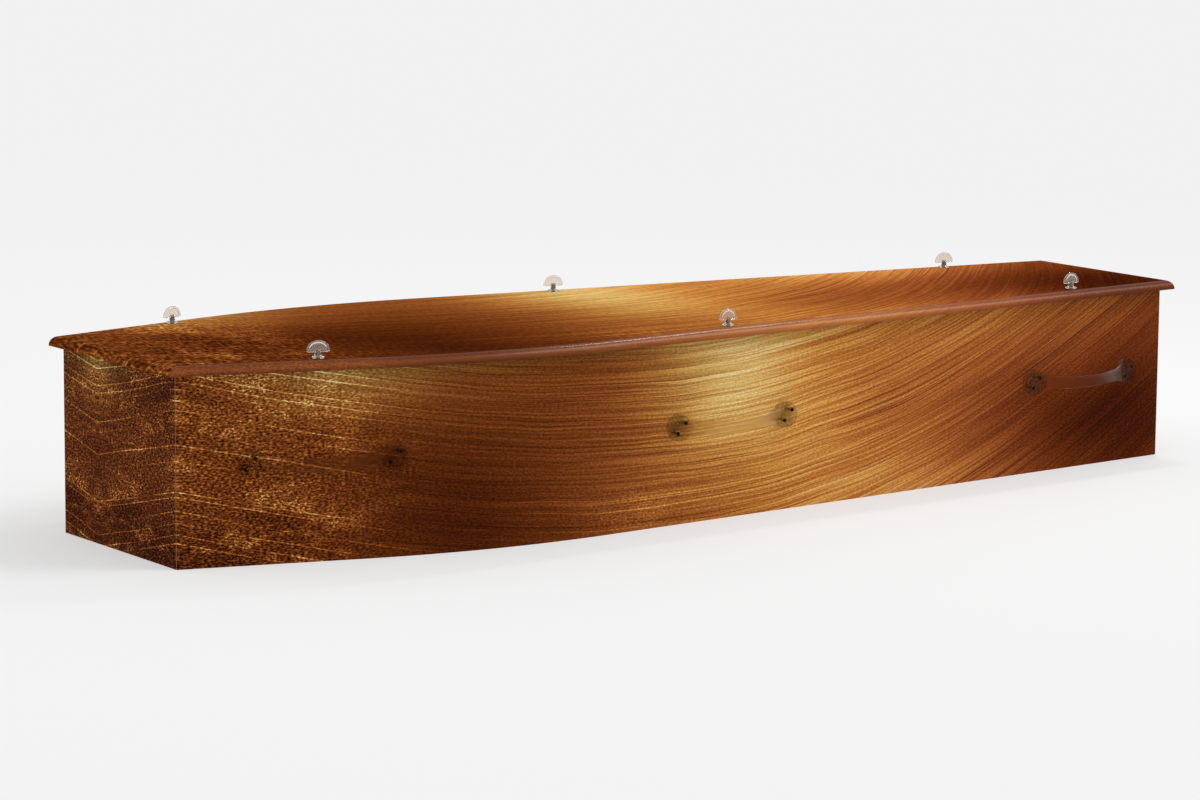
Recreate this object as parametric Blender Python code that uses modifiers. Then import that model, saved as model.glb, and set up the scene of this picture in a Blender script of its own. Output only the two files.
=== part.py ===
"""Shoulder-shaped coffin of thin printed boards, with a lift-off lid, clear handles and thumbscrews.

The head end is at -X and the foot end at +X, +Z is up, and the origin lies on the floor under the
middle of the lid. Left is +Y and right is -Y. Every board, handle, knob and screw is one object.
"""

import math

import bmesh
import bpy
from mathutils import Matrix, Vector

# Body, outside sizes in metres
BODY_LENGTH = 1.930
HEAD_WIDTH = 0.354
SHOULDER_WIDTH = 0.602        # where the two straight runs of a side would meet
FOOT_WIDTH = 0.312
SHOULDER_FROM_HEAD = 0.485
BEND_RADIUS = 1.220           # outside face of the bent side board
BODY_HEIGHT = 0.289

# Boards
SIDE_THICKNESS = 0.015
END_THICKNESS = 0.015
BASE_THICKNESS = 0.015
LID_THICKNESS = 0.015
LID_LIP = 0.001               # square lip left under the rounded-over edge
LID_OVERHANG = 0.021
LID_END_OVERHANG = 0.016
GAP = 0.0003                  # glue line or air between two pieces that touch
MITRE_GAP = 0.0004            # across the coffin's width, at each mitred corner

# Handles, one-piece mouldings: two round feet and a bowed strap
HANDLE_HEIGHT = 0.1545        # centre of the feet above the floor
HANDLE_FROM_HEAD = 0.214      # centre of the head handle
HANDLE_FROM_FOOT = 0.199      # centre of the foot handle
MIDDLE_HANDLE_SHIFT = -0.027  # from halfway between the other two, towards the head
FOOT_SPAN = 0.224             # between the centres of a handle's two feet
FOOT_RADIUS = 0.021
FOOT_DEPTH = 0.014
FOOT_EDGE = 0.004             # rounding of a foot's outer rim
FOOT_START = 0.005            # how deep in the board a foot starts before the board trims it
STRAP_STAND = 0.028           # middle of the strap, out from the board
STRAP_ROOT = 0.008            # strap's centre inside the feet, out from the board
STRAP_INSET = 0.014           # from a foot's centre to the strap's end inside it
STRAP_SAG = 0.005             # how far the strap hangs below the line of the feet
STRAP_HALF_HEIGHT = 0.0115
STRAP_FLARE = 0.0038          # extra half height where the strap meets a foot
STRAP_HALF_THICKNESS = 0.0040
STRAP_BOW_POWER = 0.8         # under 1, the strap leaves the feet steeply and runs flat between
STRAP_FLARE_POWER = 4         # the higher, the nearer the feet the flare keeps
STRAP_SQUARENESS = 0.75       # 1 is an ellipse, less is squarer

# Wood screws that hold the handles, two in each foot on a rising diagonal
SCREW_SPREAD = 0.0078         # from the foot's centre, along and up
SCREW_SHANK_RADIUS = 0.0019
SCREW_HEAD_RADIUS = 0.0032
SCREW_HEAD_HEIGHT = 0.0022
SCREW_HEAD_RIM = 0.0011       # upright edge of the head
SCREW_IN_BOARD = 0.010
SCREW_POINT = 0.0038

# Thumbscrews: a clear knob moulded round a steel screw
KNOB_FROM_HEAD = 0.214
KNOB_FROM_FOOT = 0.213
MIDDLE_KNOB_SHIFT = -0.020
KNOB_FLANGE_RADIUS = 0.0100
KNOB_FLANGE_HEIGHT = 0.0030
KNOB_FLANGE_EDGE = 0.0009
KNOB_COLLAR_RADIUS = 0.0060   # where the neck widens into the flange
KNOB_COLLAR_TOP = 0.0040
KNOB_WAIST_RADIUS = 0.0043
KNOB_WAIST = 0.0082           # height of the neck's narrowest place
KNOB_NECK_RADIUS = 0.0048
KNOB_NECK_TOP = 0.0135
KNOB_NECK_EDGE = 0.0020
FAN_BOTTOM = 0.0085
FAN_SHOULDER = 0.0105         # where the fan is widest
KNOB_HEIGHT = 0.0270
FAN_HALF_WIDTH = 0.0185
FAN_FOOT_HALF_WIDTH = 0.0167
FAN_THICKNESS = 0.0050
FAN_EDGE = 0.0012
THREAD_RADIUS = 0.0025
THREAD_IN_KNOB = 0.0105
THREAD_IN_BOARD = 0.022
THREAD_POINT = 0.005
HOLE_CLEARANCE = 0.0003       # round a screw, in whatever it passes through

# Facets
BEND_STEPS = 12
EDGE_STEPS = 5
FOOT_STEPS = 16
STRAP_STEPS = 12
STRAP_SIDES = 8
SCREW_STEPS = 8
KNOB_STEPS = 12
FAN_STEPS = 12

FOLLOW_CURVE = math.radians(35)
FLAT = math.radians(0.2)
WELD = 0.00001


def remove_all_objects():
    for old in list(bpy.data.objects):
        bpy.data.objects.remove(old, do_unlink=True)


def new_collection(name):
    collection = bpy.data.collections.new(name)
    bpy.context.scene.collection.children.link(collection)
    return collection


def linear_colour(hex_colour):
    """Turn an sRGB hex colour into the linear values that a shader takes."""
    channels = [int(hex_colour[i:i + 2], 16) / 255 for i in (1, 3, 5)]
    linear = [c / 12.92 if c <= 0.04045 else ((c + 0.055) / 1.055) ** 2.4 for c in channels]
    return (*linear, 1.0)


def principled(name, hex_colour, roughness, metallic=0.0, transmission=0.0, ior=1.5):
    material = bpy.data.materials.new(name)
    material.use_nodes = True
    material.diffuse_color = linear_colour(hex_colour)
    shader = material.node_tree.nodes["Principled BSDF"]
    shader.inputs["Base Color"].default_value = linear_colour(hex_colour)
    shader.inputs["Roughness"].default_value = roughness
    shader.inputs["Metallic"].default_value = metallic
    shader.inputs["Transmission Weight"].default_value = transmission
    shader.inputs["IOR"].default_value = ior
    return material


def evaluated_mesh(thing):
    """Return a new mesh of the object with its modifiers, its doubles welded."""
    depsgraph = bpy.context.evaluated_depsgraph_get()
    mesh = bpy.data.meshes.new_from_object(thing.evaluated_get(depsgraph))
    bm = bmesh.new()
    bm.from_mesh(mesh)
    bmesh.ops.remove_doubles(bm, verts=bm.verts, dist=WELD)
    bm.to_mesh(mesh)
    bm.free()
    mesh.name = thing.name
    return mesh


def as_mesh_object(thing):
    """Replace an object by a plain mesh object of the same name, place and look."""
    mesh = evaluated_mesh(thing)
    name = thing.name
    matrix = thing.matrix_world.copy()
    collection = thing.users_collection[0]
    bpy.data.objects.remove(thing, do_unlink=True)
    solid = bpy.data.objects.new(name, mesh)
    solid.matrix_world = matrix
    collection.objects.link(solid)
    return solid


def shade(mesh, angle=FOLLOW_CURVE):
    mesh.shade_smooth()
    mesh.set_sharp_from_angle(angle=angle)


def boolean(target, other, operation):
    modifier = target.modifiers.new(operation.title(), "BOOLEAN")
    modifier.operation = operation
    modifier.solver = "EXACT"
    modifier.object = other
    return modifier


def side_corners():
    """Head, shoulder and foot corner of the left side's outside face, before it is bent."""
    head = Vector((-BODY_LENGTH / 2, HEAD_WIDTH / 2))
    shoulder = Vector((-BODY_LENGTH / 2 + SHOULDER_FROM_HEAD, SHOULDER_WIDTH / 2))
    foot = Vector((BODY_LENGTH / 2, FOOT_WIDTH / 2))
    return head, shoulder, foot


def side_line(offset, end_offset):
    """Left side from head to foot as a list of points, moved out from the outside face by offset.

    Two straight runs are joined by an arc about one centre, and both ends stop on planes that lie
    end_offset beyond the outside faces of the end boards.
    """
    head, shoulder, foot = side_corners()
    first = (shoulder - head).normalized()
    second = (foot - shoulder).normalized()
    turn = first.angle(second)
    tangent_length = BEND_RADIUS * math.tan(turn / 2)
    arc_start = shoulder - first * tangent_length
    inward = Vector((first.y, -first.x))
    centre = arc_start + inward * BEND_RADIUS
    radius = BEND_RADIUS + offset
    start_angle = math.atan2(-inward.y, -inward.x)
    arc = []
    for step in range(BEND_STEPS + 1):
        angle = start_angle - turn * step / BEND_STEPS
        arc.append(centre + radius * Vector((math.cos(angle), math.sin(angle))))
    reach = BODY_LENGTH / 2 + end_offset
    head_end = arc[0] - first * ((arc[0].x + reach) / first.x)
    foot_end = arc[-1] + second * ((reach - arc[-1].x) / second.x)
    return [head_end, *arc, foot_end]


def mirrored(points):
    return [Vector((p.x, -p.y)) for p in points]


def closed_outline(offset, end_offset):
    """Whole plan of the coffin, moved out by offset at the sides and by end_offset at the ends."""
    left = side_line(offset, end_offset)
    return left + mirrored(left)[::-1]


def point_on_side(x, offset=0.0):
    """Point of the left side's line at a given x."""
    line = side_line(offset, 0.0)
    for a, b in zip(line, line[1:]):
        if x <= b.x:
            return a + (b - a) * ((x - a.x) / (b.x - a.x))
    return line[-1]


def spread_along(from_head, from_foot, middle_shift):
    """The x of the head, middle and foot piece of a row of three."""
    first = -BODY_LENGTH / 2 + from_head
    last = BODY_LENGTH / 2 - from_foot
    return {"head": first, "middle": (first + last) / 2 + middle_shift, "foot": last}


def wall_matrix(side, x, span):
    """Frame on the outside of a side board: X along it, Y straight out of it, Z up.

    It lies on the chord between two points of the board that are span apart along X.
    """
    reach = span / 2 * math.cos(side_angle(x))
    a = point_on_side(x - reach)
    b = point_on_side(x + reach)
    middle = (a + b) / 2
    angle = math.atan2(b.y - a.y, b.x - a.x)
    if side == "right":
        middle.y = -middle.y
        angle = math.pi - angle
    return Matrix.Translation((middle.x, middle.y, 0.0)) @ Matrix.Rotation(angle, 4, "Z")


def side_angle(x):
    """Angle in plan between the left side and the coffin's length, at a given x."""
    step = 0.001
    run = point_on_side(x + step) - point_on_side(x - step)
    return math.atan2(run.y, run.x)


def board(name, outline, bottom, thickness, collection, material):
    """Flat board with a given outline, cut from a filled 2D curve and made a welded mesh."""
    curve = bpy.data.curves.new(name, "CURVE")
    curve.dimensions = "2D"
    curve.fill_mode = "BOTH"
    curve.extrude = thickness / 2
    spline = curve.splines.new("POLY")
    spline.points.add(len(outline) - 1)
    for target, point in zip(spline.points, outline):
        target.co = (point.x, point.y, 0.0, 1.0)
    spline.use_cyclic_u = True
    sheet = bpy.data.objects.new(name, curve)
    sheet.location.z = bottom + thickness / 2
    collection.objects.link(sheet)
    bpy.context.view_layer.update()
    solid = as_mesh_object(sheet)
    bm = bmesh.new()
    bm.from_mesh(solid.data)
    bmesh.ops.dissolve_limit(bm, angle_limit=FLAT, verts=bm.verts, edges=bm.edges)
    bm.to_mesh(solid.data)
    bm.free()
    if material:
        solid.data.materials.append(material)
    return solid


def turned(name, profile, steps, collection):
    """Body of revolution about Z: a profile at +X that runs down its outer side, with Screw."""
    mesh = bpy.data.meshes.new(name)
    edges = [(i, i + 1) for i in range(len(profile) - 1)]
    mesh.from_pydata([(r, 0.0, z) for r, z in profile], edges, [])
    body = bpy.data.objects.new(name, mesh)
    collection.objects.link(body)
    screw = body.modifiers.new("Screw", "SCREW")
    screw.steps = steps
    screw.render_steps = steps
    screw.use_merge_vertices = True
    screw.merge_threshold = WELD
    return body


def drills(name, holes, collection):
    """Cutter made of cylinders, each given as (matrix, radius, low, high) along its own Z."""
    bm = bmesh.new()
    for matrix, radius, low, high in holes:
        place = matrix @ Matrix.Translation((0.0, 0.0, (low + high) / 2))
        bmesh.ops.create_cone(bm, cap_ends=True, segments=SCREW_STEPS, radius1=radius,
                              radius2=radius, depth=high - low, matrix=place)
    mesh = bpy.data.meshes.new(name)
    bm.to_mesh(mesh)
    bm.free()
    cutter = bpy.data.objects.new(name, mesh)
    collection.objects.link(cutter)
    return hide_cutter(cutter)


def hide_cutter(cutter):
    cutter.display_type = "WIRE"
    cutter.hide_render = True
    return cutter


def out_of_wall(along, up):
    """Local frame with its Z pointing straight out of the board, at a place on it."""
    return Matrix.Translation((along, 0.0, up)) @ Matrix.Rotation(-math.pi / 2, 4, "X")


def handle_screw_places():
    """The four screw places of one handle, in its own frame: (name, frame)."""
    places = []
    for foot, centre in (("a", FOOT_SPAN / 2), ("b", -FOOT_SPAN / 2)):
        for level, way in (("upper", 1), ("lower", -1)):
            frame = out_of_wall(centre - way * SCREW_SPREAD, HANDLE_HEIGHT + way * SCREW_SPREAD)
            places.append((f"{foot}_{level}", frame))
    return places


def handle_foot(name, along, collection):
    """Round foot: a disc with a rounded rim that starts just inside the board's face."""
    inner = FOOT_RADIUS - FOOT_EDGE
    shoulder = FOOT_DEPTH - FOOT_EDGE
    halfway = FOOT_EDGE * math.sqrt(0.5)
    profile = [(0.0, FOOT_DEPTH), (inner, FOOT_DEPTH), (inner + halfway, shoulder + halfway),
               (FOOT_RADIUS, shoulder), (FOOT_RADIUS, -FOOT_START), (0.0, -FOOT_START)]
    foot = turned(name, profile, FOOT_STEPS, collection)
    foot.matrix_world = out_of_wall(along, HANDLE_HEIGHT)
    return foot


def strap_section(share):
    """One closed section of the strap at a share of its length from 0 to 1.

    The strap bows out as a power of a sine, sags as a sine, and its height flares towards both
    feet with a power of the distance from its middle. The section is an ellipse that is squared
    off a little.
    """
    bow = math.sin(math.pi * share) ** STRAP_BOW_POWER if 0 < share < 1 else 0.0
    along = (share - 0.5) * (FOOT_SPAN - 2 * STRAP_INSET)
    out = STRAP_ROOT + (STRAP_STAND - STRAP_ROOT) * bow
    up = HANDLE_HEIGHT - STRAP_SAG * math.sin(math.pi * share)
    half_height = STRAP_HALF_HEIGHT + STRAP_FLARE * abs(2 * share - 1) ** STRAP_FLARE_POWER
    points = []
    for side in range(STRAP_SIDES):
        angle = 2 * math.pi * (side + 0.5) / STRAP_SIDES
        c = math.copysign(abs(math.cos(angle)) ** STRAP_SQUARENESS, math.cos(angle))
        s = math.copysign(abs(math.sin(angle)) ** STRAP_SQUARENESS, math.sin(angle))
        points.append(Vector((along, out + STRAP_HALF_THICKNESS * s, up + half_height * c)))
    return points


def handle_strap(name, collection):
    """Loft between sections of unlike height, closed by a cap at each end."""
    bm = bmesh.new()
    rings = []
    for step in range(STRAP_STEPS + 1):
        rings.append([bm.verts.new(p) for p in strap_section(step / STRAP_STEPS)])
    for ring, following in zip(rings, rings[1:]):
        for i in range(STRAP_SIDES):
            j = (i + 1) % STRAP_SIDES
            bm.faces.new((ring[i], ring[j], following[j], following[i]))
    bm.faces.new(rings[0])
    bm.faces.new(rings[-1])
    bmesh.ops.recalc_face_normals(bm, faces=bm.faces)
    mesh = bpy.data.meshes.new(name)
    bm.to_mesh(mesh)
    bm.free()
    strap = bpy.data.objects.new(name, mesh)
    collection.objects.link(strap)
    return strap


def handle_mesh(workshop):
    """One handle in its own frame, with its four screw holes, as a mesh that all six share."""
    strap = handle_strap("handle_strap", workshop)
    feet = [handle_foot("handle_foot_a", FOOT_SPAN / 2, workshop),
            handle_foot("handle_foot_b", -FOOT_SPAN / 2, workshop)]
    holes = [(frame, SCREW_SHANK_RADIUS + HOLE_CLEARANCE, -SIDE_THICKNESS, 2 * FOOT_DEPTH)
             for _, frame in handle_screw_places()]
    drill = drills("handle_drill", holes, workshop)
    for foot in feet:
        boolean(strap, foot, "UNION")
        hide_cutter(foot)
    boolean(strap, drill, "DIFFERENCE")
    bpy.context.view_layer.update()
    mesh = evaluated_mesh(strap)
    mesh.name = "handle"
    hide_cutter(strap)
    return mesh


def handle_screw_mesh(workshop):
    """Pan-head wood screw about its own Z, its point down, seated on the foot at FOOT_DEPTH."""
    seat = FOOT_DEPTH + GAP
    profile = [(0.0, seat + SCREW_HEAD_HEIGHT), (SCREW_HEAD_RADIUS, seat + SCREW_HEAD_RIM),
               (SCREW_HEAD_RADIUS, seat), (SCREW_SHANK_RADIUS, seat),
               (SCREW_SHANK_RADIUS, SCREW_POINT - SCREW_IN_BOARD), (0.0, -SCREW_IN_BOARD)]
    body = turned("handle_screw", profile, SCREW_STEPS, workshop)
    bpy.context.view_layer.update()
    mesh = evaluated_mesh(body)
    bpy.data.objects.remove(body, do_unlink=True)
    return mesh


def knob_places():
    """Frames of the six thumbscrews on the lid's top: Z up, X along the side board below."""
    places = {}
    lid_top = BODY_HEIGHT + GAP + LID_THICKNESS
    stations = spread_along(KNOB_FROM_HEAD, KNOB_FROM_FOOT, MIDDLE_KNOB_SHIFT)
    for station, x in stations.items():
        point = point_on_side(x, -SIDE_THICKNESS / 2)
        angle = side_angle(x)
        for side, sign in (("left", 1), ("right", -1)):
            turn = Matrix.Rotation(sign * angle, 4, "Z")
            place = Matrix.Translation((point.x, sign * point.y, lid_top)) @ turn
            places[f"{side}_{station}"] = place
    return places


def knob_mesh(workshop):
    """Clear knob: a turned flange and neck joined to an upright fan, bored for the screw."""
    profile = [(0.0, KNOB_NECK_TOP), (KNOB_NECK_RADIUS - KNOB_NECK_EDGE, KNOB_NECK_TOP),
               (KNOB_NECK_RADIUS, KNOB_NECK_TOP - KNOB_NECK_EDGE), (KNOB_WAIST_RADIUS, KNOB_WAIST),
               (KNOB_COLLAR_RADIUS, KNOB_COLLAR_TOP),
               (KNOB_FLANGE_RADIUS, KNOB_FLANGE_HEIGHT - KNOB_FLANGE_EDGE),
               (KNOB_FLANGE_RADIUS, GAP), (0.0, GAP)]
    stem = turned("knob_stem", profile, KNOB_STEPS, workshop)
    fan = knob_fan(workshop)
    bore_top = GAP + THREAD_IN_KNOB + HOLE_CLEARANCE
    bore = [(Matrix(), THREAD_RADIUS + HOLE_CLEARANCE, -THREAD_IN_KNOB, bore_top)]
    boolean(stem, fan, "UNION")
    boolean(stem, drills("knob_drill", bore, workshop), "DIFFERENCE")
    hide_cutter(fan)
    bpy.context.view_layer.update()
    mesh = evaluated_mesh(stem)
    mesh.name = "knob"
    hide_cutter(stem)
    return mesh


def knob_fan(workshop):
    """Upright fan: half an ellipse over a nearly flat foot, with softened edges."""
    curve = bpy.data.curves.new("knob_fan", "CURVE")
    curve.dimensions = "2D"
    curve.fill_mode = "BOTH"
    curve.extrude = FAN_THICKNESS / 2 - FAN_EDGE
    curve.bevel_depth = FAN_EDGE
    curve.bevel_resolution = 0
    curve.offset = -FAN_EDGE
    rise = KNOB_HEIGHT - FAN_SHOULDER
    outline = [(FAN_HALF_WIDTH * math.cos(math.pi * i / FAN_STEPS),
                FAN_SHOULDER + rise * math.sin(math.pi * i / FAN_STEPS)) for i in range(FAN_STEPS + 1)]
    outline += [(-FAN_FOOT_HALF_WIDTH, FAN_BOTTOM), (FAN_FOOT_HALF_WIDTH, FAN_BOTTOM)]
    spline = curve.splines.new("POLY")
    spline.points.add(len(outline) - 1)
    for target, (x, z) in zip(spline.points, outline):
        target.co = (x, z, 0.0, 1.0)
    spline.use_cyclic_u = True
    fan = bpy.data.objects.new("knob_fan", curve)
    workshop.objects.link(fan)
    fan.rotation_euler.x = math.pi / 2
    bpy.context.view_layer.update()
    return as_mesh_object(fan)


def knob_screw_mesh(workshop):
    """Steel screw moulded into the knob: a straight shank with a point, about its own Z."""
    low = -(LID_THICKNESS + THREAD_IN_BOARD)
    profile = [(0.0, GAP + THREAD_IN_KNOB), (THREAD_RADIUS, GAP + THREAD_IN_KNOB),
               (THREAD_RADIUS, low + THREAD_POINT), (0.0, low)]
    body = turned("knob_screw", profile, SCREW_STEPS, workshop)
    bpy.context.view_layer.update()
    mesh = evaluated_mesh(body)
    bpy.data.objects.remove(body, do_unlink=True)
    return mesh


def handle_places():
    """Frames of the six handles on the outside of the side boards."""
    places = {}
    stations = spread_along(HANDLE_FROM_HEAD, HANDLE_FROM_FOOT, MIDDLE_HANDLE_SHIFT)
    for station, x in stations.items():
        for side in ("left", "right"):
            places[f"{side}_{station}"] = wall_matrix(side, x, FOOT_SPAN)
    return places


def make_side_board(side, collection, workshop, material):
    """Bent side board with mitred ends, drilled for the handle screws and the thumbscrews."""
    outer = side_line(0.0, 0.0)
    inner = side_line(-SIDE_THICKNESS, -END_THICKNESS)
    outline = outer + inner[::-1]
    if side == "right":
        outline = mirrored(outline)[::-1]
    solid = board(f"side_board_{side}", outline, 0.0, BODY_HEIGHT, collection, material)
    holes = []
    for name, place in handle_places().items():
        if name.startswith(side):
            for _, frame in handle_screw_places():
                depth = -(SCREW_IN_BOARD + HOLE_CLEARANCE)
                holes.append((place @ frame, SCREW_SHANK_RADIUS + HOLE_CLEARANCE, depth, FOOT_DEPTH))
    for name, place in knob_places().items():
        if name.startswith(side):
            depth = -(LID_THICKNESS + THREAD_IN_BOARD + HOLE_CLEARANCE)
            holes.append((place, THREAD_RADIUS + HOLE_CLEARANCE, depth, 0.0))
    boolean(solid, drills(f"side_drill_{side}", holes, workshop), "DIFFERENCE")
    solid = as_mesh_object(solid)
    shade(solid.data)
    return solid


def make_end_board(end, collection, material):
    """Head or foot board, mitred into the side boards."""
    line = side_line(0.0, 0.0)
    inner = side_line(-SIDE_THICKNESS, -END_THICKNESS)
    outside, inside = (line[0], inner[0]) if end == "head" else (line[-1], inner[-1])
    half = [Vector((p.x, p.y - MITRE_GAP)) for p in (outside, inside)]
    outline = half + mirrored(half)[::-1]
    return board(f"{end}_board", outline, 0.0, BODY_HEIGHT, collection, material)


def make_base_board(collection, material):
    """Base that fits inside the sides and ends, flush with their lower edges."""
    outline = closed_outline(-(SIDE_THICKNESS + GAP), -(END_THICKNESS + GAP))
    return board("base_board", outline, 0.0, BASE_THICKNESS, collection, material)


def make_lid_board(collection, workshop, material):
    """Loose lid with its top edge rounded over and holes for the thumbscrews."""
    outline = closed_outline(LID_OVERHANG, LID_END_OVERHANG)
    solid = board("lid_board", outline, BODY_HEIGHT + GAP, LID_THICKNESS, collection, material)
    weights = solid.data.attributes.new("bevel_weight_edge", "FLOAT", "EDGE")
    top = LID_THICKNESS / 2 - WELD
    for edge in solid.data.edges:
        ends = [solid.data.vertices[i].co.z for i in edge.vertices]
        weights.data[edge.index].value = 1.0 if min(ends) > top else 0.0
    bevel = solid.modifiers.new("Roundover", "BEVEL")
    bevel.limit_method = "WEIGHT"
    bevel.width = LID_THICKNESS - LID_LIP
    bevel.segments = EDGE_STEPS
    bevel.use_clamp_overlap = False
    holes = []
    for place in knob_places().values():
        holes.append((place, THREAD_RADIUS + HOLE_CLEARANCE, -2 * LID_THICKNESS, LID_THICKNESS))
    boolean(solid, drills("lid_drill", holes, workshop), "DIFFERENCE")
    solid = as_mesh_object(solid)
    shade(solid.data)
    return solid


def make_handles(collection, workshop, plastic, steel):
    """Six handles that share a mesh, their feet trimmed to the board, and their wood screws."""
    mesh = handle_mesh(workshop)
    mesh.materials.append(plastic)
    shade(mesh)
    screw = handle_screw_mesh(workshop)
    screw.materials.append(steel)
    shade(screw)
    wall = board("wall_clearance", closed_outline(GAP, GAP), 0.0, BODY_HEIGHT, workshop, None)
    hide_cutter(wall)
    for name, place in handle_places().items():
        handle = bpy.data.objects.new(f"handle_{name}", mesh)
        handle.matrix_world = place
        collection.objects.link(handle)
        boolean(handle, wall, "DIFFERENCE")
        for screw_name, frame in handle_screw_places():
            fixing = bpy.data.objects.new(f"handle_screw_{name}_{screw_name}", screw)
            fixing.matrix_world = place @ frame
            collection.objects.link(fixing)


def make_thumbscrews(collection, workshop, plastic, steel):
    """Six clear knobs and their steel screws, which pass through the lid into the side boards."""
    knob = knob_mesh(workshop)
    knob.materials.append(plastic)
    shade(knob)
    thread = knob_screw_mesh(workshop)
    thread.materials.append(steel)
    shade(thread)
    for name, place in knob_places().items():
        head = bpy.data.objects.new(f"thumbscrew_knob_{name}", knob)
        head.matrix_world = place
        collection.objects.link(head)
        shank = bpy.data.objects.new(f"thumbscrew_shank_{name}", thread)
        shank.matrix_world = place
        collection.objects.link(shank)


def main():
    remove_all_objects()
    coffin = new_collection("coffin")
    workshop = new_collection("cutters")

    printed_side = principled("printed_copper_side", "#7A4519", 0.35)
    printed_end = principled("printed_copper_end", "#4F2C10", 0.38)
    printed_lid = principled("printed_copper_lid", "#6B3B1B", 0.30)
    raw_board = principled("raw_fibreboard", "#A98A63", 0.85)
    clear_plastic = principled("clear_handle_plastic", "#FFFFFF", 0.04, transmission=1.0, ior=1.49)
    frosted_plastic = principled("frosted_knob_plastic", "#E6E3DE", 0.20, transmission=0.7, ior=1.49)
    dark_steel = principled("blackened_screw_steel", "#15120F", 0.45, metallic=1.0)
    plated_steel = principled("plated_screw_steel", "#9A9792", 0.30, metallic=1.0)

    for side in ("left", "right"):
        make_side_board(side, coffin, workshop, printed_side)
    make_end_board("head", coffin, printed_end)
    make_end_board("foot", coffin, printed_end)
    make_base_board(coffin, raw_board)
    make_lid_board(coffin, workshop, printed_lid)
    make_handles(coffin, workshop, clear_plastic, dark_steel)
    make_thumbscrews(coffin, workshop, frosted_plastic, plated_steel)
    bpy.context.view_layer.update()


main()
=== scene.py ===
"""Looks of the copper-print coffin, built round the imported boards, handles and fixings."""

import math

import bmesh
import bpy
import numpy as np
from mathutils import Matrix, Vector


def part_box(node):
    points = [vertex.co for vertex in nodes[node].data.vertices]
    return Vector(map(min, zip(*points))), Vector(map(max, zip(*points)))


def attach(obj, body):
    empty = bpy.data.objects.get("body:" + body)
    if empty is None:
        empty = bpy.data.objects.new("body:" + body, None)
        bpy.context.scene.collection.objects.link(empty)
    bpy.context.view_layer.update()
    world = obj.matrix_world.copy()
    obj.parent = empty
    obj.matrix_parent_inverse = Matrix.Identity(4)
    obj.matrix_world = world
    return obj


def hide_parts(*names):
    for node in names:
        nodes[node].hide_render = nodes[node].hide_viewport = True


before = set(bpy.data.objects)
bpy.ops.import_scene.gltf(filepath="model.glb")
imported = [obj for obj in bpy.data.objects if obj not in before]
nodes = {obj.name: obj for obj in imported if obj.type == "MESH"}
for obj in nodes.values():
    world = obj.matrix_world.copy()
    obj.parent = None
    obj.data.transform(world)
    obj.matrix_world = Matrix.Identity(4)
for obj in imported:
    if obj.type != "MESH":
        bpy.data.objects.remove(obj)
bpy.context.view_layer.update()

SIDES = ("left", "right")
STATIONS = ("head", "middle", "foot")
UP = Vector((0.0, 0.0, 1.0))

# Plan of the body in metres, the same as the CAD boards'
side_low, side_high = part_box("side_board_left")
lid_low, lid_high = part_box("lid_board")
BODY_LENGTH = side_high.x - side_low.x
BODY_HEIGHT = side_high.z
HEAD_WIDTH = 0.354
SHOULDER_WIDTH = 0.602
FOOT_WIDTH = 0.312
SHOULDER_FROM_HEAD = 0.485
BEND_RADIUS = 1.220
SIDE_THICKNESS = 0.015
END_THICKNESS = 0.015
MITRE_GAP = 0.0004
LID_OVERHANG = 0.0209         # a tenth of a millimetre under the CAD's, as the finer bend reaches further
LID_END_OVERHANG = lid_high.x - BODY_LENGTH / 2
LID_LIP = 0.001
LID_ROUND = lid_high.z - lid_low.z - LID_LIP

# Fineness of the boards' grids
HEAD_RUN_STEPS = 34
BEND_STEPS = 48
FOOT_RUN_STEPS = 150
END_STEPS = 44
HEIGHT_STEPS = 30
ROUND_STEPS = 12
BOARD_EDGE = 0.0009           # small rounding of a board's long edges
EDGE_STEPS = 3
SEAM = 0.0003                 # eased corner of a mitre, where the raw board shows

# Clear handles, as the CAD handles' sizes
FOOT_RADIUS = 0.0209
FOOT_DEPTH = 0.0139
FOOT_EDGE = 0.004
STRAP_STAND = 0.028
STRAP_ROOT = 0.008
STRAP_INSET = 0.009
STRAP_SAG = 0.005
STRAP_HALF_HEIGHT = 0.0100
STRAP_FLARE = 0.0082
STRAP_HALF_THICKNESS = 0.0034
STRAP_BOW_POWER = 0.8
STRAP_FLARE_POWER = 5
STRAP_SQUARENESS = 0.6
BORE_RADIUS = 0.0022
BORE_BEYOND = 0.002           # how far the cutter of a bore reaches past the foot
SCREW_SEAT_GAP = 0.0004       # the screws' heads sit this close to the foot or closer
FOOT_FADE_IN = 0.003          # the feet's olive cast fades from this far inside their rim
FOOT_FADE_OUT = 0.002         # to this far outside it

# Thumbscrew knobs
FLANGE_RADIUS = 0.0098
FLANGE_HEIGHT = 0.0028
NECK_RADIUS = 0.0047
NECK_WAIST_RADIUS = 0.0042
NECK_WAIST = 0.0075
NECK_TOP = 0.0125
FAN_HALF_WIDTH = 0.0182
FAN_SHOULDER = 0.0107
FAN_RISE = 0.0160
FAN_DROP = 0.0021
FAN_HALF_THICKNESS = 0.0024
KNOB_VOXEL = 0.00045
KNOB_SMOOTHING = 3

# Fineness of the handles' and knobs' grids
STRAP_STEPS = 96
STRAP_TURN_STEPS = 40
FOOT_TURN_STEPS = 64
FOOT_EDGE_STEPS = 8
BORE_TURN_STEPS = 24
FAN_STEPS = 32
FAN_TURN_STEPS = 96
STEM_TURN_STEPS = 48

CORNERS = (np.s_[:-1, :-1], np.s_[:-1, 1:], np.s_[1:, 1:], np.s_[1:, :-1])  # of a grid's faces
WELD = 1e-6                   # points closer than this become one
SHARP_ANGLE = 38.0            # degrees between two faces, above which their edge is sharp


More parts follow.
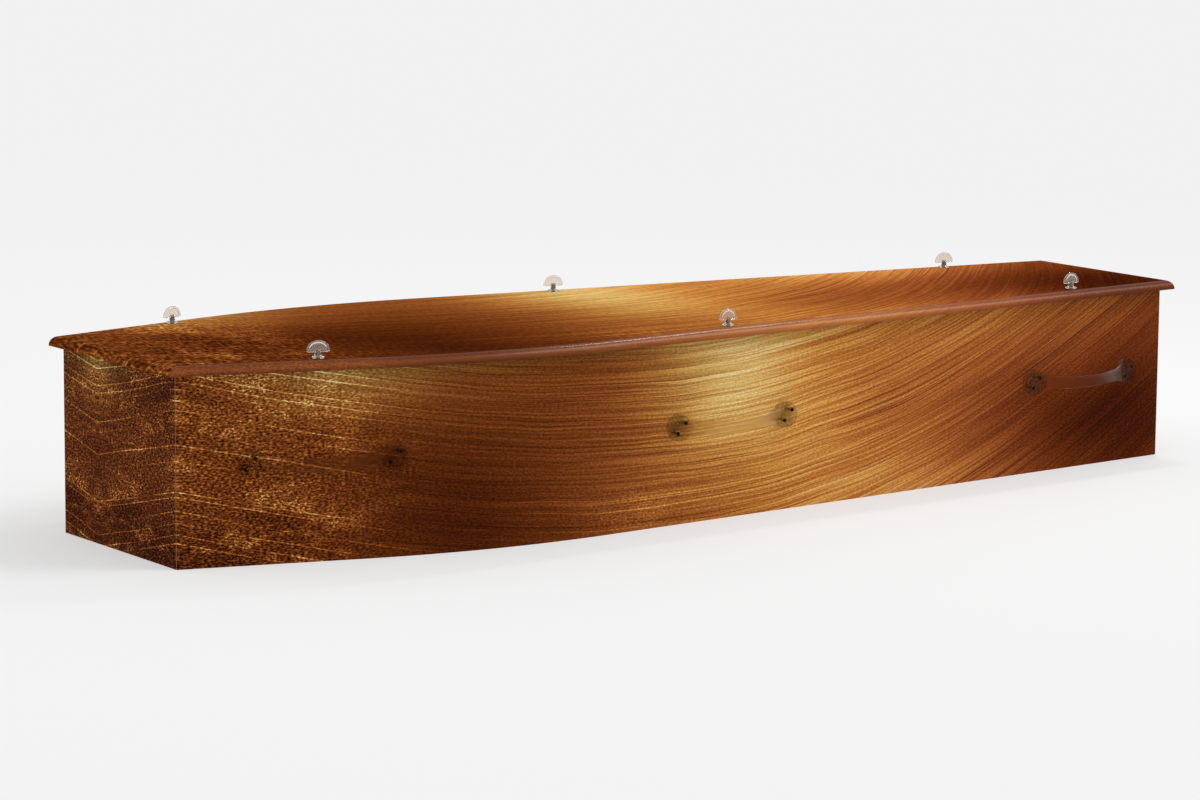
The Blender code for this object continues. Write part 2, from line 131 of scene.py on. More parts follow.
def linear(hex_colour):
    """Turn an sRGB hex colour into the linear values that a shader takes."""
    channels = [int(hex_colour[i:i + 2], 16) / 255 for i in (1, 3, 5)]
    values = [c / 12.92 if c <= 0.04045 else ((c + 0.055) / 1.055) ** 2.4 for c in channels]
    return (*values, 1.0)


def unit(vector):
    """Vector of length 1 in the same direction."""
    return vector / np.linalg.norm(vector)


def side_line(offset, end_offset):
    """Left side from head to foot, moved out by offset: straight run, arc, straight run.

    The arc keeps one centre whatever the offset, and both runs stop end_offset beyond the ends.
    """
    head = np.array((-BODY_LENGTH / 2, HEAD_WIDTH / 2))
    shoulder = np.array((-BODY_LENGTH / 2 + SHOULDER_FROM_HEAD, SHOULDER_WIDTH / 2))
    foot = np.array((BODY_LENGTH / 2, FOOT_WIDTH / 2))
    first = unit(shoulder - head)
    second = unit(foot - shoulder)
    turn = math.acos(first @ second)
    inward = np.array((first[1], -first[0]))
    centre = shoulder - first * BEND_RADIUS * math.tan(turn / 2) + inward * BEND_RADIUS
    angle = math.atan2(-inward[1], -inward[0]) - turn * np.linspace(0, 1, BEND_STEPS + 1)
    arc = centre + (BEND_RADIUS + offset) * np.stack([np.cos(angle), np.sin(angle)], 1)
    reach = BODY_LENGTH / 2 + end_offset
    head_end = arc[0] - first * (arc[0, 0] + reach) / first[0]
    foot_end = arc[-1] + second * (reach - arc[-1, 0]) / second[0]
    head_run = np.linspace(head_end, arc[0], HEAD_RUN_STEPS, endpoint=False)
    foot_run = np.linspace(arc[-1], foot_end, FOOT_RUN_STEPS + 1)[1:]
    return np.concatenate([head_run, arc, foot_run])


def run_length(line):
    """Distance along a line of points, from its first point."""
    steps = np.linalg.norm(np.diff(line, axis=0), axis=1)
    return np.concatenate([[0.0], np.cumsum(steps)])


# The print's own layout, in metres from the head end and from the bottom edge

BRUSH_TURN = 0.87             # where the brush strokes run level
BRUSH_BEND_HEAD = 0.30        # slope gained in each metre towards the head
BRUSH_BEND_FOOT = 0.56

# Soft spots of lighter or darker tone: along, up, reach along, reach up, lighter or darker
SPOTS = (
    (0.44, 0.05, 0.17, 0.13, -0.13),
    (0.24, 0.29, 0.15, 0.07, 0.18),
    (0.06, 0.00, 0.15, 0.06, -0.12),
    (0.97, 0.20, 0.12, 0.10, 0.08),
    (0.84, 0.10, 0.10, 0.10, 0.04),
    (1.56, 0.29, 0.34, 0.10, 0.21),
    (1.85, 0.08, 0.18, 0.10, -0.18),
    (1.68, 0.10, 0.14, 0.09, -0.04),
)
SIDE_SPOTS = (
    (0.45, 0.26, 0.16, 0.05, 0.05),
    (0.93, 0.17, 0.08, 0.04, 0.07),
    (1.28, 0.15, 0.09, 0.05, -0.06),
    (1.75, 0.16, 0.10, 0.05, 0.05),
    (1.36, 0.01, 0.12, 0.03, 0.04),
)
# Spots of the end boards: darker at the top and along the bottom of the head end, and a broad spot of
# painted shade that darkens all of the head end, which faces away from the window light
END_SPOTS_AND_SHADE = (
    (0.12, 0.28, 0.07, 0.06, -0.14),
    (0.02, 0.27, 0.06, 0.07, -0.09),
    (0.20, 0.26, 0.08, 0.06, -0.08),
    (0.12, 0.20, 0.90, 0.20, -0.04),
    (0.12, 0.04, 0.30, 0.07, -0.06),
)
LID_SPOTS = (
    (0.40, 0.27, 0.28, 0.08, 0.12),
    (0.80, 0.25, 0.13, 0.10, 0.06),
    (1.60, 0.25, 0.30, 0.08, 0.20),
    (1.27, 0.11, 0.20, 0.08, -0.13),
    (0.20, 0.13, 0.18, 0.06, -0.07),
    (0.95, 0.12, 0.60, 0.40, -0.02),
)
BASE_TONE = 0.41
GLOW_TONE = 0.36
GLOW_TOP = 0.98               # middle of the bright band at the print's top and bottom edges
GLOW_BOTTOM = 1.22
GLOW_HEAD_REACH_TOP = 0.23    # how far the band reaches towards the head there, and to the foot
GLOW_HEAD_REACH_BOTTOM = 0.38
GLOW_FOOT_REACH = 0.37


def bell(x):
    """Bell curve, 1 at 0 and about a third at 1."""
    return np.exp(-x * x)


def ramp_up(x, low, high):
    """Smooth step from 0 at low to 1 at high."""
    t = np.clip((x - low) / (high - low), 0, 1)
    return t * t * (3 - 2 * t)


def broad_tone(u, v, own_spots_and_shade):
    """Lightness of the print: a slanting bright band with a steep and a slow side, and soft spots, one of
    which is painted shade over the head end.
    """
    height = v / BODY_HEIGHT
    middle = GLOW_BOTTOM + (GLOW_TOP - GLOW_BOTTOM) * height
    head_reach = GLOW_HEAD_REACH_BOTTOM + (GLOW_HEAD_REACH_TOP - GLOW_HEAD_REACH_BOTTOM) * height
    reach = np.where(u < middle, head_reach, GLOW_FOOT_REACH)
    tone = BASE_TONE + GLOW_TONE * bell((u - middle) / reach)
    for along, up, reach_along, reach_up, amount in SPOTS + own_spots_and_shade:
        distance = np.hypot((u - along) / reach_along, (v - up) / reach_up)
        tone = tone + amount * bell(distance)
    return tone


def hue(u, v):
    """Hue of the print: 1 is red copper, 0 plain copper and -1 pale gold.

    Red grows towards the foot and away from the top edge. Gold lies in the bright band's upper
    part and in two soft patches at the top.
    """
    red = ramp_up(u, 1.00, 1.55) * (1 - 0.6 * ramp_up(v, 0.22, 0.28))
    gold = bell(np.hypot((u - 0.95) / 0.14, (v - 0.24) / 0.12))
    gold = gold + 0.6 * bell(np.hypot((u - 0.27) / 0.14, (v - 0.29) / 0.06))
    gold = gold + 0.4 * ramp_up(v, 0.262, 0.284) * ramp_up(u, 0.1, 0.2)
    return red - gold


def mottling(u, v):
    """Share of mottled gold: strong in the head third, and in a patch at the bottom middle."""
    return 1 - 0.97 * ramp_up(u, 0.10, 0.44) + 0.30 * bell(np.hypot((u - 0.78) / 0.12, (v - 0.03) / 0.04))


def stroke_place(u, v):
    """Along and across the brush strokes, which are parabolas that lie one above the other."""
    bend = np.where(u < BRUSH_TURN, BRUSH_BEND_HEAD, BRUSH_BEND_FOOT)
    return np.stack([u, v - bend * (u - BRUSH_TURN) ** 2 / 2], -1)


def solid(name, patches, materials, node, own_spots_and_shade):
    """One closed mesh from patches that share edges.

    A patch is a grid of points, a grid of print places and a material's number. The edges are
    welded, what stays open is filled with the last material, and normals face outwards.
    """
    points, faces, places, slots = [], [], [], []
    count = 0
    for grid, place, slot in patches:
        index = count + np.arange(grid.shape[0] * grid.shape[1]).reshape(grid.shape[:2])
        points.append(grid.reshape(-1, 3))
        faces.append(np.stack([index[c] for c in CORNERS], -1).reshape(-1, 4))
        places.append(np.stack([place[c] for c in CORNERS], -2).reshape(-1, 2))
        slots.append(np.full(len(faces[-1]), slot))
        count += index.size
    mesh = bpy.data.meshes.new(name)
    mesh.from_pydata(np.concatenate(points).tolist(), [], np.concatenate(faces).tolist())
    place = np.concatenate(places)
    for title, values in (("print", place), ("strokes", stroke_place(*place.T))):
        mesh.uv_layers.new(name=title).data.foreach_set("uv", values.ravel().astype(np.float32))
    for title, values in (("tone", broad_tone(*place.T, own_spots_and_shade)), ("hue", hue(*place.T)),
                          ("mottle", mottling(*place.T))):
        layer = mesh.attributes.new(title, "FLOAT", "CORNER")
        layer.data.foreach_set("value", values.astype(np.float32))
    mesh.polygons.foreach_set("material_index", np.concatenate(slots).astype(np.int32))
    bm = bmesh.new()
    bm.from_mesh(mesh)
    bmesh.ops.remove_doubles(bm, verts=bm.verts, dist=WELD)
    filled = bmesh.ops.holes_fill(bm, edges=[e for e in bm.edges if e.is_boundary])
    for face in filled["faces"]:
        face.material_index = len(materials) - 1
    bmesh.ops.recalc_face_normals(bm, faces=bm.faces)
    bm.to_mesh(mesh)
    bm.free()
    piece(name, mesh, materials, node)


def piece(name, mesh, materials, node):
    """Object of a finished mesh at the origin, smooth but for its sharp edges, in a node's stead."""
    for material in materials:
        mesh.materials.append(material)
    mesh.shade_smooth()
    mesh.set_sharp_from_angle(angle=math.radians(SHARP_ANGLE))
    thing = bpy.data.objects.new(name, mesh)
    bpy.context.scene.collection.objects.link(thing)
    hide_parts(node)
    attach(thing, "root")


def quarter(steps):
    """Sine and cosine over a quarter turn, in steps."""
    angle = np.linspace(0, math.pi / 2, steps + 1)
    return np.sin(angle), np.cos(angle)


def board_patches(outer, inner, thickness, low, high, along):
    """Upright board between an outer and an inner line of points, with eased edges.

    The printed face runs from the middle of the lower edge's rounding to the middle of the upper
    one's, and its ends are eased over a seam where the raw board shows. The rest is raw.
    """
    r = BOARD_EDGE
    s, c = quarter(EDGE_STEPS)
    up = np.linspace(low + r, high - r, HEIGHT_STEPS + 1)
    face_depth = np.concatenate([r - r * s, np.zeros(HEIGHT_STEPS - 1), r - r * c])
    face_height = np.concatenate([low + r - r * c, up[1:-1], high - r + r * s])
    back_depth = np.concatenate([[r], thickness - r + r * s, thickness - r + r * c, [r]])
    back_height = np.concatenate([[high], high - r + r * c, low + r - r * s, [low]])
    patches = []
    for depth, height, slot in ((face_depth, face_height, 0), (back_depth, back_height, 1)):
        share = (depth / thickness)[None, :, None]
        flat = outer[:, None, :] * (1 - share) + inner[:, None, :] * share
        tall = np.broadcast_to(height[None, :, None], flat.shape[:2] + (1,))
        grid = np.concatenate([flat, tall], -1)
        place = np.stack(np.broadcast_arrays(along[:, None], height[None, :]), -1)
        if slot == 0:
            patches += [(grid[:2], place[:2], 1), (grid[1:-1], place[1:-1], 0),
                        (grid[-2:], place[-2:], 1)]
        else:
            patches.append((grid, place, slot))
    return patches


def eased(outer, inner, thickness):
    """Outer line with a short seam at both ends, whose corner is drawn in towards the inner line."""
    first = outer[0] + unit(outer[1] - outer[0]) * SEAM
    last = outer[-1] + unit(outer[-2] - outer[-1]) * SEAM
    inner_first = inner[0] + unit(inner[1] - inner[0]) * SEAM
    inner_last = inner[-1] + unit(inner[-2] - inner[-1]) * SEAM
    start = outer[0] + (inner[0] - outer[0]) * SEAM / thickness
    end = outer[-1] + (inner[-1] - outer[-1]) * SEAM / thickness
    return (np.concatenate([[start, first], outer[1:-1], [last, end]]),
            np.concatenate([[inner[0], inner_first], inner[1:-1], [inner_last, inner[-1]]]))


def make_side(side, printed, raw):
    """Side board, bent at the shoulder; the right one mirrors the left one."""
    outer, inner = eased(side_line(0.0, 0.0), side_line(-SIDE_THICKNESS, -END_THICKNESS),
                         SIDE_THICKNESS)
    along = run_length(outer)
    if side == "right":
        outer = outer * (1, -1)
        inner = inner * (1, -1)
    patches = board_patches(outer, inner, SIDE_THICKNESS, 0.0, BODY_HEIGHT, along)
    solid(f"side_panel_{side}", patches, [printed, raw], f"side_board_{side}",
          SIDE_SPOTS)


END_FOLD = 0.244              # the print turns back this far from the near corner of an end


def make_end(end, printed, raw):
    """Head or foot board, whose print carries on from the near side and turns back once."""
    index = 0 if end == "head" else -1
    corners = []
    for offset, end_offset in ((0.0, 0.0), (-SIDE_THICKNESS, -END_THICKNESS)):
        corner = side_line(offset, end_offset)[index] - (0, MITRE_GAP)
        corners.append(np.linspace(corner * (1, -1), corner, END_STEPS))
    outer, inner = eased(*corners, END_THICKNESS)
    across = run_length(outer)
    along = END_FOLD - np.abs(across - END_FOLD)
    if end == "foot":
        along = run_length(side_line(0.0, 0.0))[-1] - along
    patches = board_patches(outer, inner, END_THICKNESS, 0.0, BODY_HEIGHT, along)
    solid(f"{end}_panel", patches, [printed, raw], f"{end}_board", END_SPOTS_AND_SHADE)


def lid_outline(offset, end_offset):
    """Closed outline of the lid's plan, with the same count of points whatever the offsets."""
    left = side_line(offset, end_offset)
    foot = np.linspace(left[-1], left[-1] * (1, -1), END_STEPS)
    right = left[::-1] * (1, -1)
    head = np.linspace(left[0] * (1, -1), left[0], END_STEPS)
    return np.concatenate([left[:-1], foot[:-1], right[:-1], head])


def lid_place(flat):
    """Print place of a point of the lid: the same print as the sides', drawn out across the lid."""
    u = flat[..., 0] + BODY_LENGTH / 2
    v = (flat[..., 1] / (SHOULDER_WIDTH + 2 * LID_OVERHANG) + 0.5) * BODY_HEIGHT
    return np.stack([u, v], -1)


def lid_field(inset):
    """Flat grid between the left and right lines of the outline drawn in by inset."""
    left = side_line(LID_OVERHANG - inset, LID_END_OVERHANG - inset)
    share = np.linspace(1, -1, END_STEPS)[None, :, None]
    return left[:, None, :] * np.concatenate([np.ones_like(share), share], -1)


def make_lid(printed, edge, raw):
    """Lid: a flat top, a quarter-round edge, a small lip and a flat underside."""
    s, c = quarter(ROUND_STEPS)
    inset = np.concatenate([[0.0], LID_ROUND * (1 - c)])
    height = np.concatenate([[lid_low.z], lid_low.z + LID_LIP + LID_ROUND * s])
    unrolled = LID_ROUND - LID_ROUND * np.linspace(0, math.pi / 2, ROUND_STEPS + 1)
    unrolled = LID_ROUND - np.concatenate([[unrolled[0] + LID_LIP], unrolled])
    rings, places = [], []
    for step in range(len(inset)):
        flat = lid_outline(LID_OVERHANG - inset[step], LID_END_OVERHANG - inset[step])
        spread = lid_outline(LID_OVERHANG - unrolled[step], LID_END_OVERHANG - unrolled[step])
        rings.append(np.column_stack([flat, np.full(len(flat), height[step])]))
        places.append(lid_place(spread))
    rings, places = np.array(rings), np.array(places)
    field = lid_field(LID_ROUND)
    top = np.concatenate([field, np.full(field.shape[:2] + (1,), lid_high.z)], -1)
    under_field = lid_field(0.0)
    under = np.concatenate([under_field, np.full(under_field.shape[:2] + (1,), lid_low.z)], -1)
    patches = [(top, lid_place(field), 0), (under, lid_place(under_field), 2)]
    run = HEAD_RUN_STEPS + BEND_STEPS + FOOT_RUN_STEPS
    corners = np.cumsum([0, run, END_STEPS - 1, run, END_STEPS - 1])
    for start, stop, slot in zip(corners, corners[1:], (1, 0, 1, 0)):
        part = np.s_[:, start:stop + 1]
        patches.append((rings[part], places[part], slot))
    solid("lid_panel", patches, [printed, edge, raw], "lid_board", LID_SPOTS)


def turned_grid(profile, steps, axis="Z"):
    """Grid of a profile of (radius, height) pairs turned about an axis."""
    angle = np.linspace(0, 2 * math.pi, steps + 1)[:, None]
    radius, height = np.array(profile).T
    grid = np.stack([radius * np.cos(angle), radius * np.sin(angle),
                     np.broadcast_to(height, (steps + 1, len(height)))], -1)
    return grid if axis == "Z" else grid[..., [0, 2, 1]]


def joined_mesh(name, grids):
    """Closed shells from grids of points, each welded to itself and turned outwards."""
    points, faces, count = [], [], 0
    for grid in grids:
        index = count + np.arange(grid.shape[0] * grid.shape[1]).reshape(grid.shape[:2])
        points.append(grid.reshape(-1, 3))
        faces.append(np.stack([index[c] for c in CORNERS], -1).reshape(-1, 4))
        count += index.size
    mesh = bpy.data.meshes.new(name)
    mesh.from_pydata(np.concatenate(points).tolist(), [], np.concatenate(faces).tolist())
    bm = bmesh.new()
    bm.from_mesh(mesh)
    bmesh.ops.remove_doubles(bm, verts=bm.verts, dist=WELD)
    bmesh.ops.recalc_face_normals(bm, faces=bm.faces)
    bm.to_mesh(mesh)
    bm.free()
    return mesh


def fused(mesh, voxel, smoothing):
    """One skin round overlapping shells, remeshed on a fine grid and smoothed."""
    thing = bpy.data.objects.new(mesh.name, mesh)
    bpy.context.scene.collection.objects.link(thing)
    remesh = thing.modifiers.new("Remesh", "REMESH")
    remesh.mode = "VOXEL"
    remesh.voxel_size = voxel
    smooth = thing.modifiers.new("Smooth", "SMOOTH")
    smooth.iterations = smoothing
    bpy.context.view_layer.update()
    skin = bpy.data.meshes.new_from_object(thing.evaluated_get(bpy.context.evaluated_depsgraph_get()))
    bpy.data.objects.remove(thing, do_unlink=True)
    return skin


def moulded(name, body, added, bored):
    """Skin of a solid grid with other solids joined on and bores cut out, edges kept exact."""
    things = []
    for number, grid in enumerate([body, *added, *bored]):
        thing = bpy.data.objects.new(f"{name}_{number}", joined_mesh(f"{name}_{number}", [grid]))
        bpy.context.scene.collection.objects.link(thing)
        things.append(thing)
    for number, other in enumerate(things[1:]):
        cut = things[0].modifiers.new(other.name, "BOOLEAN")
        cut.operation = "UNION" if number < len(added) else "DIFFERENCE"
        cut.solver = "EXACT"
        cut.object = other
    bpy.context.view_layer.update()
    skin = bpy.data.meshes.new_from_object(
        things[0].evaluated_get(bpy.context.evaluated_depsgraph_get()))
    for thing in things:
        bpy.data.objects.remove(thing, do_unlink=True)
    return skin


def bore_grid(x, z):
    """Bore of a screw through a handle's foot, a little longer than the foot is deep."""
    low, high = -BORE_BEYOND, FOOT_DEPTH + BORE_BEYOND
    profile = [(0.0, low), (BORE_RADIUS, low), (BORE_RADIUS, high), (0.0, high)]
    return turned_grid(profile, BORE_TURN_STEPS, "Y") + (x, 0, z)


def strap_grid(span):
    """Strap of a handle: a squared ellipse carried along a bow that sags and flares at its ends."""
    share = np.linspace(0, 1, STRAP_STEPS + 1)[:, None]
    angle = np.linspace(0, 2 * math.pi, STRAP_TURN_STEPS + 1)[None, :]
    bow = np.sin(math.pi * share) ** STRAP_BOW_POWER
    half_height = STRAP_HALF_HEIGHT + STRAP_FLARE * np.abs(2 * share - 1) ** STRAP_FLARE_POWER
    c = np.sign(np.cos(angle)) * np.abs(np.cos(angle)) ** STRAP_SQUARENESS
    s = np.sign(np.sin(angle)) * np.abs(np.sin(angle)) ** STRAP_SQUARENESS
    along = (share - 0.5) * (span - 2 * STRAP_INSET) + 0 * angle
    out = STRAP_ROOT + (STRAP_STAND - STRAP_ROOT) * bow + STRAP_HALF_THICKNESS * s
    up = half_height * c - STRAP_SAG * np.sin(math.pi * share)
    body = np.stack([along, out, up], -1)
    ends = [np.broadcast_to(body[i].mean(0), body[i].shape)[None] for i in (0, -1)]
    return np.concatenate([ends[0], body, ends[1]])


def foot_grid(along):
    """Round foot of a handle: a disc with a rounded rim, its back at zero."""
    s, c = quarter(FOOT_EDGE_STEPS)
    inner = FOOT_RADIUS - FOOT_EDGE
    rim = np.stack([inner + FOOT_EDGE * c, FOOT_DEPTH - FOOT_EDGE + FOOT_EDGE * s], 1)
    profile = np.concatenate([[(0.0, 0.0), (FOOT_RADIUS, 0.0)], rim, [(0.0, FOOT_DEPTH)]])
    return turned_grid(profile, FOOT_TURN_STEPS, "Y") + (along, 0, 0)


def vertices_of(node):
    """A CAD node's vertices as an array."""
    values = np.empty(len(nodes[node].data.vertices) * 3, np.float32)
    nodes[node].data.vertices.foreach_get("co", values)
    return values.reshape(-1, 3).astype(float)


def reach(node, direction):
    """Lowest and highest place of a node along a direction."""
    places = vertices_of(node) @ np.array(direction)
    return places.min(), places.max()


def box_middle(node):
    """Middle of a CAD node's box."""
    low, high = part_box(node)
    return (low + high) / 2


def place_matrix(origin, along, out):
    """Frame with X along, Y out and Z up."""
    return Matrix.Translation(origin) @ Matrix((along, out, UP)).transposed().to_4x4()


def handle_frames():
    """Frame of each handle, read from its four screws: X from foot b to foot a, Y out of the board."""
    frames = {}
    for side in SIDES:
        for station in STATIONS:
            screws = f"handle_screw_{side}_{station}"
            foot_a, foot_b = [
                (box_middle(f"{screws}_{foot}_upper") + box_middle(f"{screws}_{foot}_lower")) / 2
                for foot in "ab"]
            along = (foot_a - foot_b).normalized()
            out = UP.cross(along)
            back = reach(f"handle_{side}_{station}", out)[0]
            middle = (foot_a + foot_b) / 2
            origin = middle + out * (back - middle.dot(out))
            frames[f"{side}_{station}"] = (place_matrix(origin, along, out), (foot_a - foot_b).length)
    return frames


def make_handles(acrylic):
    """Handles: one skin, moulded once with its feet marked for the material, at each place."""
    skin = None
    for name, (place, span) in handle_frames().items():
        if skin is None:
            screws = [place.inverted() @ box_middle(node) for node in nodes
                      if node.startswith(f"handle_screw_{name}")]
            skin = moulded("handle_skin", strap_grid(span), [foot_grid(span / 2), foot_grid(-span / 2)],
                           [bore_grid(screw.x, screw.z) for screw in screws])
            points = np.empty(len(skin.vertices) * 3, np.float32)
            skin.vertices.foreach_get("co", points)
            x, y, z = points.reshape(-1, 3).T
            near = np.hypot(np.abs(x) - span / 2, z)
            skin.attributes.new("foot", "FLOAT", "POINT").data.foreach_set(
                "value", 1 - ramp_up(near, FOOT_RADIUS - FOOT_FADE_IN, FOOT_RADIUS + FOOT_FADE_OUT))
        mesh = skin.copy()
        mesh.transform(place)
        piece(f"clear_handle_{name}", mesh, [acrylic], f"handle_{name}")


def fan_grid():
    """Fan of a knob: a plate with a pillowed face, wide above its shoulder and shallow below it.

    Its outline is half an ellipse above the shoulder and a flat squared half ellipse below. Its
    thickness falls from the middle to the rim as the fourth root of what is left of the way,
    with a bead near the rim.
    """
    angle = np.linspace(0, 2 * math.pi, FAN_TURN_STEPS + 1)
    top = np.sin(angle) >= 0
    power = np.where(top, 1.0, 0.55)
    x = FAN_HALF_WIDTH * np.sign(np.cos(angle)) * np.abs(np.cos(angle)) ** power
    z = np.where(top, FAN_RISE, FAN_DROP) * np.sign(np.sin(angle)) * np.abs(np.sin(angle)) ** power
    share = np.linspace(0, 1, FAN_STEPS + 1)
    thick = FAN_HALF_THICKNESS * (1 - share ** 4) ** 0.25 * (0.6 + 0.45 * bell((share - 0.88) / 0.09))
    share = np.concatenate([share, share[::-1]])
    thick = np.concatenate([thick, -thick[::-1]])
    return np.stack([share[None, :] * x[:, None], np.broadcast_to(thick, (len(angle), len(thick))),
                     FAN_SHOULDER + share[None, :] * z[:, None]], -1)


def stem_grid():
    """Stem of a knob: a neck with a waist, over a flange with an eased rim."""
    profile = [(0.0, NECK_TOP), (0.7 * NECK_RADIUS, NECK_TOP), (NECK_RADIUS, NECK_TOP - 0.0015),
               (NECK_WAIST_RADIUS, NECK_WAIST), (NECK_RADIUS, FLANGE_HEIGHT + 0.0020),
               (0.65 * FLANGE_RADIUS, FLANGE_HEIGHT), (0.93 * FLANGE_RADIUS, FLANGE_HEIGHT - 0.0004),
               (FLANGE_RADIUS, FLANGE_HEIGHT - 0.0012), (FLANGE_RADIUS, 0.0), (0.0, 0.0)]
    return turned_grid(profile, STEM_TURN_STEPS)


def make_knobs(acrylic):
    """Knobs: one skin, set over each shank with its fan along the side board."""
    skin = fused(joined_mesh("knob_skin", [fan_grid(), stem_grid()]), KNOB_VOXEL, KNOB_SMOOTHING)
    for side in SIDES:
        for station in STATIONS:
            node = f"thumbscrew_knob_{side}_{station}"
            shank = box_middle(f"thumbscrew_shank_{side}_{station}")
            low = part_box(node)[0]
            line = side_line(-SIDE_THICKNESS / 2, 0.0)
            slope = np.interp(shank.x, (line[1:, 0] + line[:-1, 0]) / 2,
                              np.diff(line[:, 1]) / np.diff(line[:, 0]))
            along = Vector((1.0, slope if side == "left" else -slope, 0.0)).normalized()
            place = place_matrix(Vector((shank.x, shank.y, low.z)), along, UP.cross(along))
            mesh = skin.copy()
            mesh.transform(place)
            piece(f"knob_{side}_{station}", mesh, [acrylic], node)


def add(tree, kind, settings=None, **inputs):
    """Add a node with its settings; an input takes a value or another node's output."""
    node = tree.nodes.new(kind)
    for name, value in (settings or {}).items():
        setattr(node, name, value)
    for name, value in inputs.items():
        key = int(name[1:]) if name[0] == "i" and name[1:].isdigit() else name.replace("_", " ")
        if isinstance(value, bpy.types.NodeSocket):
            tree.links.new(value, node.inputs[key])
        else:
            node.inputs[key].default_value = value
    return node


def new_material(name):
    """New material with its node tree and its shader."""
    material = bpy.data.materials.new(name)
    material.use_nodes = True
    tree = material.node_tree
    return material, tree, tree.nodes["Principled BSDF"]


# Brightness of the print turned into copper colours, from umber pits to pale gold
PLAIN_COPPER = ((0.10, "#1b0802"), (0.25, "#401808"), (0.36, "#5c2a0c"), (0.46, "#773d19"),
                (0.60, "#995826"), (0.70, "#b36f30"), (0.80, "#cb8e44"), (0.90, "#dcb062"), (1.0, "#efd99c"))
RED_COPPER = ((0.10, "#1f0802"), (0.25, "#401607"), (0.36, "#5d280c"), (0.46, "#763718"),
              (0.60, "#995326"), (0.70, "#b16a32"), (0.80, "#c98a48"), (0.90, "#dbae66"), (1.0, "#efd69a"))
PALE_GOLD = ((0.10, "#1e1003"), (0.25, "#40260c"), (0.36, "#5c3a14"), (0.46, "#785224"),
             (0.60, "#997038"), (0.70, "#b38c4b"), (0.80, "#cca45c"), (0.90, "#dcbd7c"), (1.0, "#f2e2ae"))

# Marks of the print: cycles a metre along and across the strokes, and how much they change the tone
HAIR_LINES = (3.0, 270.0, 0.080)
WIDE_BANDS = (1.2, 110.0, 0.025)
# Thin lines: lines a metre, half their width in metres, breaks a metre along them, how broken
# they are, how faint the faintest is, and their tone
DARK_GROOVES = (150.0, 0.0008, 2.2, 0.48, 0.25, -0.28)
PALE_GROOVES = (60.0, 0.0009, 2.0, 0.50, 0.25, 0.15)
SCRATCHES = (62.0, 0.0014, 1.6, 0.47, 0.60, 0.50)
GROOVE_REDNESS = 1.0          # the print's dark lines lean to red copper
SCRATCH_STAYS = 0.04          # how much of the scratches is left where there is no mottling
STROKES_IN_MOTTLING = 0.25    # how much of the strokes is left where the print is mottled
STROKES_IN_DARK = 0.35        # and how much where it is dark
SLOW_WANDER = (2.5, 2.5, 0.016)    # the strokes' wander: cycles along and across, and metres aside
QUICK_WANDER = (1.8, 13.0, 0.012)
FLECKS = 19.0                 # cycles a metre of the gold flecks' clumps
FLECK_TONE = 0.33
STAINS = 11.0                 # dark stains between the clumps
STAIN_TONE = -0.12
GRAIN_STRETCH = 0.5           # clumps and grains are longer along the board
LID_GRAIN = 0.4               # and drawn out across the lid, which the photo shows almost edge on
EDGE_GRAIN = 2.2              # finer across the lid's narrow edge
SPECKLE = 420.0               # the clumps' own grain, drawn coarser than the foil's so that it shows
GRAIN = 380.0                 # fine grain all over, drawn coarser too
GRAIN_TONE = 0.24
MOTTLED_GRAIN_TONE = 0.85     # more of it where the print is mottled
EDGE_EVENNESS = 0.40          # how far the lid's edge is drawn to one tone along its length
EDGE_MEAN = 0.44
EDGE_PAINTED_SHADE = -0.06             # the lid's edge: painted shade along its top and bottom, and painted light half way up its rounding
EDGE_PAINTED_LIGHT = 0.10
EDGE_DULL = 0.0002            # how far under the lid's top its edge is as dull as the top
RELIEF = 0.00012              # height in metres of the strokes' relief in the foil
ROUGHNESS_SPREAD = 0.12       # how much duller or glossier the grain is
FIBRES = 420.0                # cycles a metre of the bare board's fibres
FIBRE_HEIGHT = 0.0003
WEAR = 900.0                  # cycles a metre of the screws' streaks
WEAR_HEIGHT = 0.0001


def colour_ramp(tree, value, stops):
    """Colour of a value, read off stops that are a position and a colour each."""
    ramp = add(tree, "ShaderNodeValToRGB", None, Fac=value)
    elements = ramp.color_ramp.elements
    while len(elements) < len(stops):
        elements.new(0.5)
    for element, (position, colour) in zip(elements, stops):
        element.position = position
        element.color = linear(colour)
    return ramp.outputs["Color"]


def streaks(tree, strokes, along, across, detail):
    """Noise drawn out along the strokes, with so many cycles a metre along and across them."""
    stretched = add(tree, "ShaderNodeMapping", None, Vector=strokes, Scale=(along, across, 1.0))
    return add(tree, "ShaderNodeTexNoise", {"noise_dimensions": "2D"}, Vector=stretched.outputs[0],
               Scale=1.0, Detail=detail, Roughness=0.6).outputs["Fac"]


def clouds(tree, layout, scale):
    """Patches of noise over the print, each broken up by a fine speckle."""
    noise = add(tree, "ShaderNodeTexNoise", {"noise_dimensions": "2D"}, Vector=layout, Scale=scale,
                Detail=6.0, Roughness=0.78, Distortion=0.3).outputs["Fac"]
    patch = add(tree, "ShaderNodeMapRange", {"interpolation_type": "SMOOTHSTEP"}, Value=noise,
                From_Min=0.44, From_Max=0.66).outputs[0]
    speckle = add(tree, "ShaderNodeTexNoise", {"noise_dimensions": "2D"}, Vector=layout, Scale=SPECKLE,
                  Detail=1.0).outputs["Fac"]
    spots = add(tree, "ShaderNodeMapRange", {"interpolation_type": "SMOOTHSTEP"}, Value=speckle,
                From_Min=0.40, From_Max=0.62, To_Min=0.0, To_Max=1.4).outputs[0]
    return add(tree, "ShaderNodeMath", {"operation": "MULTIPLY"}, i0=patch, i1=spots).outputs[0]


